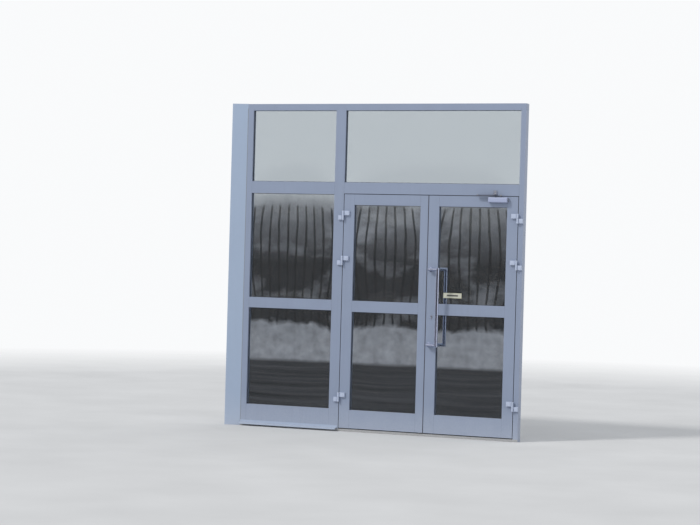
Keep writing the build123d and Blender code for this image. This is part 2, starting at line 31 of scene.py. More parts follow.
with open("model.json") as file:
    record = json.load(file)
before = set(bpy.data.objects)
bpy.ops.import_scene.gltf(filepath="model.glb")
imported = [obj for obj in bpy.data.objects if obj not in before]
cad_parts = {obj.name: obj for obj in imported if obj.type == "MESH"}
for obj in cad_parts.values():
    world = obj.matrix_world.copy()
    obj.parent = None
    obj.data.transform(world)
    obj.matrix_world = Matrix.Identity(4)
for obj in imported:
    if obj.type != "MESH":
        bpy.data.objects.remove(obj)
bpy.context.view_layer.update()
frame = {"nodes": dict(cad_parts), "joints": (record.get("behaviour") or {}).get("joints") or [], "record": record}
cadNodes = frame["nodes"]
pivots = {joint["name"]: Vector(joint["pos_m"]) for joint in frame["joints"] if "pos_m" in joint}
scene = bpy.context.scene
scene.view_settings.view_transform = 'Standard'
print("packed door loaded,", len(cadNodes), "nodes")


# Node helpers

def put(tree, kind, sockets=None, **settings):
    # a new node; sockets holds values or links under the input's name or number
    made = tree.nodes.new(kind)
    for name, value in settings.items():
        setattr(made, name, value)
    for name, value in (sockets or {}).items():
        if isinstance(value, bpy.types.NodeSocket):
            tree.links.new(value, made.inputs[name])
        else:
            made.inputs[name].default_value = value
    return made


def coords(tree, kind='Object'):
    return put(tree, 'ShaderNodeTexCoord').outputs[kind]


def axes(tree, vector):
    return put(tree, 'ShaderNodeSeparateXYZ', {0: vector}).outputs


def stretched(tree, vector, scale):
    return put(tree, 'ShaderNodeMapping', {'Vector': vector, 'Scale': scale}).outputs[0]


def sums(tree, operation, first, second=0.0, third=None):
    numbers = {0: first, 1: second}
    if third is not None:
        numbers[2] = third
    return put(tree, 'ShaderNodeMath', numbers, operation=operation).outputs[0]


def span(tree, value, low, high, toLow=0.0, toHigh=1.0):
    # maps low..high to toLow..toHigh, held at both ends
    made = put(tree, 'ShaderNodeMapRange', {'Value': value, 'From Min': low, 'From Max': high,
                                            'To Min': toLow, 'To Max': toHigh})
    return made.outputs[0]


def noise(tree, vector, scale, detail=3.0, roughness=0.5):
    made = put(tree, 'ShaderNodeTexNoise', {'Vector': vector, 'Scale': scale, 'Detail': detail,
                                            'Roughness': roughness})
    return made.outputs[0]


def blendColour(tree, factor, first, second, kind='MIX'):
    made = put(tree, 'ShaderNodeMix', {0: factor, 6: first, 7: second},
               data_type='RGBA', blend_type=kind)
    return made.outputs[2]


def shaded(tree, colour, shade):
    # the colour times one grey value
    grey = put(tree, 'ShaderNodeCombineXYZ', {0: shade, 1: shade, 2: shade}).outputs[0]
    return blendColour(tree, 1.0, colour, grey, 'MULTIPLY')


def newGroup(name, inputs, outputs):
    group = bpy.data.node_groups.new(name, 'ShaderNodeTree')
    for label, kind, value in inputs:
        socket = group.interface.new_socket(name=label, in_out='INPUT',
                                            socket_type='NodeSocket' + kind)
        socket.default_value = value
    for label, kind in outputs:
        group.interface.new_socket(name=label, in_out='OUTPUT', socket_type='NodeSocket' + kind)
    given = group.nodes.new('NodeGroupInput').outputs
    return group, given, group.nodes.new('NodeGroupOutput').inputs


def useGroup(tree, group, sockets=None):
    return put(tree, 'ShaderNodeGroup', sockets, node_tree=group).outputs


def newMaterial(name, plain=None):
    # a Principled material; plain holds values for the shader's own sockets
    material = bpy.data.materials.new(name)
    material.use_nodes = True
    tree = material.node_tree
    shader = tree.nodes['Principled BSDF']
    for label, value in (plain or {}).items():
        shader.inputs[label].default_value = value
    return material, tree, shader.inputs


def wire(tree, shader, colour, roughness, height, depth):
    # colour, roughness and a bump of the given depth into the shader
    tree.links.new(colour, shader['Base Color'])
    tree.links.new(roughness, shader['Roughness'])
    bump = put(tree, 'ShaderNodeBump', {'Height': height, 'Distance': depth, 'Strength': 1.0})
    tree.links.new(bump.outputs[0], shader['Normal'])


# Effects shared by several finishes

surfaceOutputs = [('Colour', 'Color'), ('Roughness', 'Float'), ('Height', 'Float')]


def makeWeatherGroup():
    # rain streaks, road splash near the ground and dust on what faces up; the paints also use the splash mask for
    # painted light bounced up from the ground
    group, given, out = newGroup('weathering', [('Streak Width', 'Float', 0.02),
                                                ('Splash Height', 'Float', 0.35)],
                                 [('Streaks', 'Float'), ('Splash And Ground Light', 'Float'), ('Dust', 'Float')])
    where = coords(group)
    narrow = sums(group, 'DIVIDE', 1.0, given['Streak Width'])
    tall = put(group, 'ShaderNodeCombineXYZ', {0: narrow, 1: narrow, 2: 1.3}).outputs[0]
    streak = span(group, noise(group, stretched(group, where, tall), 1.0, 4.0, 0.6), 0.5, 0.78)
    patches = span(group, noise(group, where, 2.3, 3.0), 0.35, 0.65)
    group.links.new(sums(group, 'MULTIPLY', streak, patches), out['Streaks'])
    ragged = sums(group, 'MULTIPLY_ADD', noise(group, where, 9.0, 5.0, 0.65), 0.5, -0.25)
    level = sums(group, 'DIVIDE', axes(group, where)[2], given['Splash Height'])
    nearGround = sums(group, 'SUBTRACT', 1.0, sums(group, 'ADD', level, ragged))
    drops = span(group, noise(group, where, 160.0, 2.0), 0.42, 0.62)
    thickness = sums(group, 'MULTIPLY_ADD', drops, 0.35, 0.55)
    # near the ground: splash dirt, which on the paints also carries painted light bounced up from the ground
    splashAndGroundLight = sums(group, 'MULTIPLY', span(group, nearGround, 0.0, 1.0), thickness)
    group.links.new(splashAndGroundLight, out['Splash And Ground Light'])
    facing = put(group, 'ShaderNodeNewGeometry').outputs['Normal']
    upward = span(group, axes(group, facing)[2], 0.55, 0.95)
    settled = span(group, noise(group, where, 35.0, 5.0, 0.7), 0.3, 0.7)
    group.links.new(sums(group, 'MULTIPLY', upward, settled), out['Dust'])
    return group


def makeCoatGroup():
    # powder coat: fine orange peel, a faint cloudiness, a few handling marks, and low down a pale salt film that
    # is also painted light bounced up from the ground
    group, given, out = newGroup('powderCoat', [('Paint', 'Color', (0.3, 0.3, 0.3, 1)),
                                                ('Grime', 'Color', (0.1, 0.1, 0.1, 1)),
                                                ('Salt And Ground Light', 'Color', (0.4, 0.4, 0.4, 1)),
                                                ('Cloud', 'Float', 0.06),
                                                ('Streaks', 'Float', 0.0),
                                                ('Splash And Ground Light', 'Float', 0.0),
                                                ('Gloss Base', 'Float', 0.4)], surfaceOutputs)
    where = coords(group)
    cloud = sums(group, 'SUBTRACT', noise(group, where, 3.5, 4.0, 0.55), 0.5)
    shade = sums(group, 'MULTIPLY_ADD', cloud, given['Cloud'], 1.0)
    marked = blendColour(group, given['Streaks'], shaded(group, given['Paint'], shade),
                         given['Grime'])
    # a pale film near the ground: salt, and painted light bounced up from the ground
    streakedAndGroundLit = blendColour(group, given['Splash And Ground Light'], marked, given['Salt And Ground Light'])
    group.links.new(streakedAndGroundLit, out['Colour'])
    scuffs = span(group, noise(group, where, 26.0, 6.0, 0.75), 0.55, 0.8)
    duller = sums(group, 'MULTIPLY_ADD', scuffs, 0.12, given['Gloss Base'])
    grimy = sums(group, 'MAXIMUM', given['Streaks'], given['Splash And Ground Light'])
    group.links.new(sums(group, 'MULTIPLY_ADD', grimy, 0.3, duller), out['Roughness'])
    peel = noise(group, where, 620.0, 2.0)
    group.links.new(peel, out['Height'])
    return group


def makeBrushedGroup():
    # fine lines left by a belt, along the axis with the small stretch
    group, given, out = newGroup('brushedLines', [('Metal', 'Color', (0.6, 0.6, 0.6, 1)),
                                                  ('Stretch', 'Vector', (900, 900, 12)),
                                                  ('Contrast', 'Float', 0.2),
                                                  ('Gloss Base', 'Float', 0.25)], surfaceOutputs)
    where = coords(group)
    lines = noise(group, stretched(group, where, given['Stretch']), 1.0, 3.0, 0.6)
    shade = sums(group, 'MULTIPLY_ADD', sums(group, 'SUBTRACT', lines, 0.5),
                 given['Contrast'], 1.0)
    group.links.new(shaded(group, given['Metal'], shade), out['Colour'])
    smear = span(group, noise(group, where, 18.0, 5.0, 0.7), 0.4, 0.75)
    rough = sums(group, 'MULTIPLY_ADD', lines, 0.12, given['Gloss Base'])
    group.links.new(sums(group, 'MULTIPLY_ADD', smear, 0.1, rough), out['Roughness'])
    group.links.new(lines, out['Height'])
    return group


def makePaneGroup():
    # sealed panes bow between their spacers and carry faint roller ripple; heights in millimetres
    group, given, out = newGroup('paneShape', [('Bow', 'Float', 1.5), ('Ripple', 'Float', 0.05)],
                                 [('Height', 'Float')])
    across = axes(group, coords(group, 'Generated'))
    domes = [sums(group, 'MULTIPLY', across[axis], sums(group, 'SUBTRACT', 1.0, across[axis]))
             for axis in (0, 2)]
    dome = sums(group, 'MULTIPLY', sums(group, 'MULTIPLY', *domes), 16.0)   # 1 in the middle
    ripple = noise(group, coords(group), 3.2, 1.0)
    bowed = sums(group, 'MULTIPLY', dome, given['Bow'])
    group.links.new(sums(group, 'MULTIPLY_ADD', ripple, given['Ripple'], bowed), out['Height'])
    return group


weatherGroup = makeWeatherGroup()
coatGroup = makeCoatGroup()
brushedGroup = makeBrushedGroup()
paneGroup = makePaneGroup()
print("shared effects ready")


# Finishes

# the salt colour and splash weight paint a pale band near the ground: a salt film, and painted light bounced up
# from the ground
paintLooks = {
    'framePaint': dict(paint=(0.262, 0.310, 0.420, 1), grime=(0.15, 0.16, 0.19, 1),
                       saltAndGroundLight=(0.43, 0.47, 0.55, 1), cloud=0.10, streaks=0.14, splashAndGroundLight=0.62, gloss=0.38),
    # the post: a lighter sheet finish, raised further as painted light so it stays as bright as a face turned to
    # the light
    'postPaintAndPaintedLight': dict(paint=(0.362, 0.445, 0.583, 1), grime=(0.19, 0.21, 0.24, 1),
                      saltAndGroundLight=(0.50, 0.53, 0.61, 1), cloud=0.06, streaks=0.10, splashAndGroundLight=0.55, gloss=0.42),
    'hingePaint': dict(paint=(0.46, 0.52, 0.66, 1), grime=(0.2, 0.2, 0.2, 1),
                       saltAndGroundLight=(0.42, 0.43, 0.45, 1), cloud=0.05, streaks=0.10, splashAndGroundLight=0.15, gloss=0.33),
    'closerPaint': dict(paint=(0.37, 0.415, 0.58, 1), grime=(0.2, 0.2, 0.22, 1),
                        saltAndGroundLight=(0.4, 0.4, 0.4, 1), cloud=0.05, streaks=0.1, splashAndGroundLight=0.0, gloss=0.28),
    # the closer's arms and shoe are darkened as painted shade, standing for the shade they sit in
    'armPaintedShade': dict(paint=(0.10, 0.11, 0.15, 1), grime=(0.05, 0.05, 0.05, 1),
                     saltAndGroundLight=(0.4, 0.4, 0.4, 1), cloud=0.08, streaks=0.1, splashAndGroundLight=0.0, gloss=0.3),
    'shoePaintedShade': dict(paint=(0.23, 0.25, 0.32, 1), grime=(0.08, 0.08, 0.09, 1),
                      saltAndGroundLight=(0.4, 0.4, 0.4, 1), cloud=0.06, streaks=0.1, splashAndGroundLight=0.0, gloss=0.3),
}
paintSurface = dict(splashHeight=0.3, dust=(0.36, 0.35, 0.33, 1), dustShare=0.35, peel=0.00004)


def makePaint(name, look):
    material, tree, shader = newMaterial(name)
    weather = useGroup(tree, weatherGroup, {'Splash Height': paintSurface['splashHeight']})
    coat = useGroup(tree, coatGroup, {
        'Paint': look['paint'], 'Grime': look['grime'], 'Salt And Ground Light': look['saltAndGroundLight'],
        'Cloud': look['cloud'], 'Gloss Base': look['gloss'],
        'Streaks': sums(tree, 'MULTIPLY', weather['Streaks'], look['streaks']),
        'Splash And Ground Light': sums(tree, 'MULTIPLY', weather['Splash And Ground Light'], look['splashAndGroundLight'])})
    dust = sums(tree, 'MULTIPLY', weather['Dust'], paintSurface['dustShare'])
    dusty = blendColour(tree, dust, coat['Colour'], paintSurface['dust'])
    wire(tree, shader, dusty, coat['Roughness'], coat['Height'], paintSurface['peel'])
    return material


brushedLooks = {
    'handleSteel': dict(metal=(0.52, 0.555, 0.71, 1), stretch=(900, 900, 14), contrast=0.07,
                        gloss=0.05, dust=0.04),
    'fittingSteel': dict(metal=(0.48, 0.48, 0.48, 1), stretch=(700, 700, 20), contrast=0.25,
                         gloss=0.3, dust=0.4),
    'millAluminium': dict(metal=(0.60, 0.61, 0.62, 1), stretch=(12, 700, 700), contrast=0.25,
                          gloss=0.36, dust=0.4),
    'spacerAluminium': dict(metal=(0.50, 0.51, 0.52, 1), stretch=(500, 500, 500), contrast=0.12,
                            gloss=0.4, dust=0.2),
    'cylinderNickel': dict(metal=(0.58, 0.60, 0.70, 1), stretch=(500, 40, 500), contrast=0.2,
                           gloss=0.26, dust=0.2),
}
brushedSurface = dict(splashHeight=0.06, dirt=(0.20, 0.19, 0.18, 1), dulls=0.5, lines=0.00003)


def makeBrushed(name, look):
    material, tree, shader = newMaterial(name, {'Metallic': 1.0})
    lines = useGroup(tree, brushedGroup, {'Metal': look['metal'], 'Stretch': look['stretch'],
                                          'Contrast': look['contrast'],
                                          'Gloss Base': look['gloss']})
    weather = useGroup(tree, weatherGroup, {'Splash Height': brushedSurface['splashHeight']})
    dirt = sums(tree, 'MULTIPLY', sums(tree, 'MAXIMUM', weather['Dust'], weather['Splash And Ground Light']),
                look['dust'])
    wire(tree, shader, blendColour(tree, dirt, lines['Colour'], brushedSurface['dirt']),
         sums(tree, 'MULTIPLY_ADD', dirt, brushedSurface['dulls'], lines['Roughness']),
         lines['Height'], brushedSurface['lines'])
    return material


# solar glass with a mirror coating and a faint film of dirt low down
glassLook = dict(tint=(0.25, 0.27, 0.28, 1), ior=5.9, shine=(0.86, 0.94, 1.0, 1),
                 bow=-0.7, ripple=0.2, millimetre=0.001,
                 film=(0.5, 0.5, 0.48, 1), filmShare=0.03, filmHeight=0.5, streakWidth=0.03)


def makeGlass():
    look = glassLook
    material, tree, shader = newMaterial('reflectiveGlass', {
        'IOR': look['ior'], 'Metallic': 0.0, 'Roughness': 0.0, 'Transmission Weight': 1.0,
        'Specular Tint': look['shine']})
    weather = useGroup(tree, weatherGroup, {'Streak Width': look['streakWidth'],
                                            'Splash Height': look['filmHeight']})
    haze = sums(tree, 'MULTIPLY', weather['Splash And Ground Light'], look['filmShare'])
    pane = useGroup(tree, paneGroup, {'Bow': look['bow'], 'Ripple': look['ripple']})
    wire(tree, shader, blendColour(tree, haze, look['tint'], look['film']), haze,
         pane['Height'], look['millimetre'])
    return material


rubberLook = dict(black=(0.012, 0.012, 0.013, 1), chalk=(0.09, 0.09, 0.09, 1), chalkShare=0.35,
                  dustShare=0.6, gloss=0.55, grain=0.00006)


def makeRubber():
    look = rubberLook
    material, tree, shader = newMaterial('sealRubber')
    where = coords(tree)
    weather = useGroup(tree, weatherGroup)
    grain = noise(tree, where, 900.0, 2.0)
    chalk = span(tree, noise(tree, where, 14.0, 6.0, 0.7), 0.45, 0.8, 0.0, look['chalkShare'])
    pale = sums(tree, 'MAXIMUM', chalk, sums(tree, 'MULTIPLY', weather['Dust'], look['dustShare']))
    wire(tree, shader, blendColour(tree, pale, look['black'], look['chalk']),
         sums(tree, 'MULTIPLY_ADD', grain, 0.2, look['gloss']), grain, look['grain'])
    return material


# border and bar: where each starts and ends, as a share of the film from its middle
filmLook = dict(ground=(0.55, 0.545, 0.455, 1), faded=(0.80, 0.79, 0.66, 1), fadeShare=0.25,
                mark=(0.10, 0.10, 0.09, 1), edge=(0.42, 0.41, 0.27, 1), gloss=0.35,
                borderSide=(0.485, 0.487), borderRise=(0.44, 0.45),
                barSide=(0.30, 0.305), barRise=(0.15, 0.16))


def makeFilm():
    # a cream film with a thin darker border and one plain dark bar
    look = filmLook
    material, tree, shader = newMaterial('paneFilm', {'Roughness': look['gloss']})
    place = axes(tree, coords(tree, 'Generated'))
    side, rise = (sums(tree, 'ABSOLUTE', sums(tree, 'SUBTRACT', place[axis], 0.5))
                  for axis in (0, 2))
    border = sums(tree, 'MAXIMUM', span(tree, side, *look['borderSide']),
                  span(tree, rise, *look['borderRise']))
    bar = sums(tree, 'MULTIPLY', span(tree, side, *look['barSide'], 1, 0),
               span(tree, rise, *look['barRise'], 1, 0))
    fading = span(tree, noise(tree, coords(tree), 30.0, 5.0), 0.4, 0.8, 0, look['fadeShare'])
    faded = blendColour(tree, fading, look['ground'], look['faded'])
    edged = blendColour(tree, border, faded, look['edge'])
    tree.links.new(blendColour(tree, bar, edged, look['mark']), shader['Base Color'])
    return material


plainLooks = {
    'hingePlastic': dict(colour=(0.44, 0.47, 0.52, 1), gloss=0.45),
    'greySealant': dict(colour=(0.26, 0.29, 0.34, 1), gloss=0.6),
    'jointShadow': dict(colour=(0.07, 0.08, 0.10, 1), gloss=0.8),
    'capPlastic': dict(colour=(0.24, 0.26, 0.33, 1), gloss=0.4),
    'brushPile': dict(colour=(0.11, 0.12, 0.155, 1), gloss=0.8),
    'lipRubber': dict(colour=(0.014, 0.014, 0.015, 1), gloss=0.6),
}
plainSurface = dict(darker=0.7, mottleShare=0.25, dust=(0.34, 0.33, 0.31, 1), dustShare=0.3,
                    grain=0.00005)


def makePlain(name, look):
    # moulded or gunned material: faint mottling, grain and dust
    material, tree, shader = newMaterial(name)
    where = coords(tree)
    weather = useGroup(tree, weatherGroup)
    grain = noise(tree, where, 480.0, 3.0)
    mottle = sums(tree, 'MULTIPLY', span(tree, noise(tree, where, 40.0, 4.0), 0.35, 0.7),
                  plainSurface['mottleShare'])
    darker = tuple(part * plainSurface['darker'] for part in look['colour'][:3]) + (1,)
    toned = blendColour(tree, mottle, look['colour'], darker)
    dust = sums(tree, 'MULTIPLY', weather['Dust'], plainSurface['dustShare'])
    wire(tree, shader, blendColour(tree, dust, toned, plainSurface['dust']),
         sums(tree, 'MULTIPLY_ADD', grain, 0.15, look['gloss']), grain, plainSurface['grain'])
    return material


finishes = {name: makePaint(name, look) for name, look in paintLooks.items()}
finishes.update({name: makeBrushed(name, look) for name, look in brushedLooks.items()})
finishes['reflectiveGlass'] = makeGlass()
finishes['sealRubber'] = makeRubber()
finishes['paneFilm'] = makeFilm()
finishes.update({name: makePlain(name, look) for name, look in plainLooks.items()})

finishOfSlot = {
    'frame_paint': 'framePaint', 'post_paint': 'postPaintAndPaintedLight', 'hinge_paint': 'hingePaint',
    'glass': 'reflectiveGlass', 'rubber': 'sealRubber', 'spacer_metal': 'spacerAluminium',
    'bare_metal': 'millAluminium', 'steel': 'fittingSteel', 'brass': 'cylinderNickel',
    'closer_metal': 'closerPaint', 'film': 'paneFilm',
}
finishOfNode = {
    'pull_handle_outer': 'handleSteel', 'pull_handle_inner': 'handleSteel',
    # arms and shoe take darkened finishes that are painted shade
    'closer_main_arm': 'armPaintedShade', 'closer_forearm': 'armPaintedShade', 'closer_shoe': 'shoePaintedShade',
}


def dressNodes():
    slotOfNode = {part["node"]: part["material_slot"] for part in frame["record"]["subparts"]}
    for name, obj in cadNodes.items():
        finish = finishOfNode.get(name) or finishOfSlot[slotOfNode[name]]
        if not obj.material_slots:
            obj.data.materials.append(finishes[finish])
        for slot in obj.material_slots:
            slot.material = finishes[finish]
    print("finishes on", len(cadNodes), "nodes")


dressNodes()


# Small shapes

def placed(origin, axis=(0, 0, 1)):
    # local Z points along axis, local X along the part's X where it can, else along its Y
    up = Vector(axis).normalized()
    about = Vector((0, 1, 0)) if abs(up.x) > 0.9 else Vector((1, 0, 0))
    side = (about - up * up.dot(about)).normalized()
    turned = Matrix((side, up.cross(side), up)).transposed().to_4x4()
    return Matrix.Translation(origin) @ turned


def turn(shape, profile, place, steps=32):
    # profile holds (radius, height) pairs; a radius may be a function of the angle
    rings = []
    for radius, height in profile:
        if radius == 0:
            rings.append([shape.verts.new(place @ Vector((0, 0, height)))])
            continue
        ring = []
        for step in range(steps):
            angle = 2 * math.pi * step / steps
            reach = radius(angle) if callable(radius) else radius
            point = Vector((reach * math.cos(angle), reach * math.sin(angle), height))
            ring.append(shape.verts.new(place @ point))
        rings.append(ring)
    for lower, upper in zip(rings[:-1], rings[1:]):
        for step in range(steps):
            after = (step + 1) % steps
            if len(lower) == 1:
                shape.faces.new((lower[0], upper[after], upper[step]))
            elif len(upper) == 1:
                shape.faces.new((lower[step], lower[after], upper[0]))
            else:
                shape.faces.new((lower[step], lower[after], upper[after], upper[step]))


def hexagon(acrossFlats):
    # a radius for turn: the distance to a hexagon's side at each angle
    def reach(angle):
        return acrossFlats / 2 / math.cos((angle + math.pi / 6) % (math.pi / 3) - math.pi / 6)
    return reach


def slab(shape, corner, opposite, soft=0.0):
    # a block between two opposite corners with its edges softened
    xs, ys, zs = (sorted(pair) for pair in zip(corner, opposite))
    verts = [shape.verts.new((x, y, z)) for x in xs for y in ys for z in zs]
    faces = [(0, 1, 3, 2), (4, 6, 7, 5), (0, 4, 5, 1), (2, 3, 7, 6), (0, 2, 6, 4), (1, 5, 7, 3)]
    made = [shape.faces.new([verts[n] for n in face]) for face in faces]
    if soft:
        edges = list({edge for face in made for edge in face.edges})
        bmesh.ops.bevel(shape, geom=edges, offset=soft, segments=2, profile=0.7, affect='EDGES')


def bendStrip(shape, path, outline):
    # carries a small outline (list of offsets) along straight points
    rings = [[shape.verts.new(Vector(point) + Vector(offset)) for offset in outline]
             for point in path]
    count = len(outline)
    for lower, upper in zip(rings[:-1], rings[1:]):
        for n in range(count):
            after = (n + 1) % count
            shape.faces.new((lower[n], lower[after], upper[after], upper[n]))
    shape.faces.new(rings[0][::-1])
    shape.faces.new(rings[-1])


def addObject(name, data):
    obj = bpy.data.objects.new(name, data)
    scene.collection.objects.link(obj)
    return obj


creaseAngle = math.radians(38)   # edges sharper than this stay sharp


def addPiece(shape, name, finish, body):
    mesh = bpy.data.meshes.new(name)
    bmesh.ops.recalc_face_normals(shape, faces=shape.faces)
    shape.to_mesh(mesh)
    shape.free()
    mesh.polygons.foreach_set('use_smooth', [True] * len(mesh.polygons))
    mesh.set_sharp_from_angle(angle=creaseAngle)
    mesh.materials.append(finishes[finish])
    obj = addObject(name, mesh)
    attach(obj, body)


# heights over the surface that a head sits on
screwLook = dict(steps=24, buttonUnder=-0.0004, flushUnder=-0.0006, flushEdge=0.0001,
                 flushTop=0.0003, socketSide=-0.0004, socketMiddle=-0.0005)


def socketScrew(shape, place, radius, rise):
    # a button head with a hexagon socket
    key = hexagon(radius * 0.95)
    under = screwLook['buttonUnder']
    turn(shape, [(0, under), (radius, under), (radius, rise * 0.35), (radius * 0.86, rise * 0.8),
                 (radius * 0.66, rise), (key, rise), (key, rise * 0.15), (0, rise * 0.1)],
         place, screwLook['steps'])


def sunkScrew(shape, place, radius):
    # a countersunk head, flush but for a thin rim
    key = hexagon(radius * 0.85)
    under, top = screwLook['flushUnder'], screwLook['flushTop']
    turn(shape, [(0, under), (radius * 0.9, under), (radius, screwLook['flushEdge']),
                 (radius * 0.94, top), (key, top), (key, screwLook['socketSide']),
                 (0, screwLook['socketMiddle'])], place, screwLook['steps'])


# Hinges

hingeLook = dict(levels=(0.307, 1.536, 1.942), half=0.041, knuckle=0.009, capRise=0.0016,
                 socket=0.006, wingStart=0.0115, leafWing=0.060, frameWing=0.048,
                 wingFront=-0.052, coverInset=0.0022, coverTip=0.0045, coverStart=0.003,
                 coverRise=0.0009, coverTuck=0.0002, coverSoft=0.0007,
                 washer=((0.0046, -0.0001), (0.0084, -0.0001), (0.0084, 0.0006),
                         (0.0046, 0.0006), (0.0046, -0.0001)))


def dressHinges():
    look = hingeLook
    radius, rise, key = look['knuckle'], look['capRise'], hexagon(look['socket'])
    cap = [(0, 0), (radius, 0), (radius, rise * 0.5), (radius * 0.88, rise),
           (key, rise), (key, rise * 0.2), (0, rise * 0.1)]
    # way: where the leaf's wing points from the pin
    for side, leaf, way in (('left', 'left_leaf', 1), ('right', 'right_leaf', -1)):
        axisX, axisY, _ = pivots[leaf + '_swing']
        caps = {leaf: bmesh.new(), 'frame': bmesh.new()}
        covers = {leaf: bmesh.new(), 'frame': bmesh.new()}
        washers = bmesh.new()
        wings = ((leaf, 1, way, look['leafWing']), ('frame', -1, -way, look['frameWing']))
        for level in look['levels']:
            for body, up, wingWay, length in wings:
                end = placed((axisX, axisY, level + up * look['half']), (0, 0, up))
                turn(caps[body], cap, end, 36)
                slab(covers[body], (axisX + wingWay * (look['wingStart'] + look['coverInset']),
                                    look['wingFront'] - look['coverRise'],
                                    level + up * look['coverStart']),
                     (axisX + wingWay * (length - look['coverTip']),
                      look['wingFront'] + look['coverTuck'],
                      level + up * (look['half'] - look['coverInset'])), look['coverSoft'])
            turn(washers, look['washer'], placed((axisX, axisY, level)))
        for body in (leaf, 'frame'):
            addPiece(caps[body], side + 'HingeCaps_' + body, 'hingePlastic', body)
            addPiece(covers[body], side + 'HingeCovers_' + body, 'hingePaint', body)
        addPiece(washers, side + 'HingeWashers', 'hingePlastic', 'frame')


# Door closer

closerLook = dict(plateInset=0.010, plateEdge=0.0015, plateRise=0.0014, plateTuck=0.0004,
                  plateSoft=0.0007, valveDrops=(0.014, 0.031), valveForward=0.016,
                  valveRadius=0.0042, valveRise=0.0016, washerRadius=0.0098, washerRise=0.0012,
                  nutAcross=0.014, nutTopAcross=0.0115, nutRise=0.0056, nutTop=0.0065,
                  rivetRadius=0.0075, rivetRise=(0.0012, 0.0022, 0.0027),
                  shoeDrops=(0.009, 0.027), shoeForward=0.005, shoeRadius=0.005, shoeRise=0.0026)


def dressCloser():
    look = closerLook
    low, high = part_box('closer_body')
    rise, edge = look['plateRise'], look['plateEdge']
    plates = bmesh.new()
    for end, way in ((low.x, -1), (high.x, 1)):
        slab(plates, (end - way * look['plateTuck'], low.y + look['plateInset'], low.z + edge),
             (end + way * rise, high.y - edge, high.z - edge), look['plateSoft'])
    addPiece(plates, 'closerEndPlates', 'capPlastic', 'right_leaf')
    screws = bmesh.new()
    for drop in look['valveDrops']:
        seat = placed((high.x + rise, high.y - look['valveForward'], high.z - drop), (1, 0, 0))
        socketScrew(screws, seat, look['valveRadius'], look['valveRise'])
    addPiece(screws, 'closerValveScrews', 'fittingSteel', 'right_leaf')
    spindle = placed((*pivots['closer_spindle_turn'].xy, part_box('closer_main_arm')[1].z))
    elbow = placed((*pivots['closer_elbow_turn'].xy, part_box('closer_forearm')[1].z))
    shoeLow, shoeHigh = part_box('closer_shoe')
    bolt = bmesh.new()
    radius, seat, nut = look['washerRadius'], look['washerRise'], hexagon(look['nutAcross'])
    turn(bolt, [(0, 0), (radius, 0), (radius, seat), (0, seat)], spindle, 36)
    turn(bolt, [(0, seat), (nut, seat), (nut, look['nutRise']),
                (hexagon(look['nutTopAcross']), look['nutTop']), (0, look['nutTop'])], spindle, 24)
    addPiece(bolt, 'closerArmBolt', 'fittingSteel', 'closer_arm')
    rivet = bmesh.new()
    radius, (edgeRise, bendRise, top) = look['rivetRadius'], look['rivetRise']
    turn(rivet, [(0, 0), (radius, 0), (radius * 0.94, edgeRise), (radius * 0.7, bendRise),
                 (0, top)], elbow)
    addPiece(rivet, 'closerElbowRivet', 'fittingSteel', 'closer_forearm')
    screws = bmesh.new()
    middle = (shoeLow.x + shoeHigh.x) / 2
    for drop in look['shoeDrops']:
        seat = placed((middle, shoeHigh.y - look['shoeForward'], shoeHigh.z - drop), (0, -1, 0))
        socketScrew(screws, seat, look['shoeRadius'], look['shoeRise'])
    addPiece(screws, 'closerShoeScrews', 'fittingSteel', 'frame')


# Lock and handles

lockLook = dict(plugRadius=0.0085, legRadius=0.005, clear=0.0003, reach=0.0075, rise=0.0024,
                outerEdge=0.0012, innerEdge=0.0008, steps=72, screwInset=0.012,
                screwRadius=0.0042)


def dressLock():
    look = lockLook
    plugLow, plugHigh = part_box('key_plug')
    plug = (plugLow + plugHigh) / 2
    drop = plug.z - (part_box('lock_cylinder')[0].z + look['legRadius'])
    leafLow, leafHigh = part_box('right_meeting_stile')

    def oval(clear):
        # distance to a slotted hole's outline, stretched down over the cylinder's leg
        def reach(angle):
            radius = look['plugRadius'] + clear
            stretch = drop + look['legRadius'] + clear - radius
            return radius + max(0.0, math.sin(angle)) ** 2 * stretch   # local Y points down here
        return reach

    rosette = bmesh.new()
    clear, outer, rise = look['clear'], look['reach'], look['rise']
    turn(rosette, [(oval(clear), 0), (oval(outer), 0), (oval(outer), rise * 0.5),
                   (oval(outer - look['outerEdge']), rise), (oval(look['innerEdge']), rise),
                   (oval(clear), rise * 0.6), (oval(clear), 0)],
         placed((plug.x, leafHigh.y, plug.z), (0, 1, 0)), look['steps'])
    addPiece(rosette, 'innerLockRosette', 'handleSteel', 'right_leaf')
    plateLow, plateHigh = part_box('lock_case')
    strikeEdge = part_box('strike_and_guides')[1].x
    middle = (leafLow.y + leafHigh.y) / 2
    for name, x, way, body in (('faceplateScrews', plateLow.x, -1, 'right_leaf'),
                               ('strikeScrews', strikeEdge, 1, 'left_leaf')):
        screws = bmesh.new()
        for height in (plateLow.z + look['screwInset'], plateHigh.z - look['screwInset']):
            sunkScrew(screws, placed((x, middle, height), (way, 0, 0)), look['screwRadius'])
        addPiece(screws, name, 'fittingSteel', body)


handleLook = dict(foot=0.021, collarLift=0.005, screwLift=0.014, tubeRadius=0.0155,
                  screwRadius=0.003, screwRise=0.0008,
                  collar=((0.0162, 0), (0.0205, 0), (0.0200, 0.0010), (0.0180, 0.0014),
                          (0.0162, 0.0020), (0.0162, 0)))


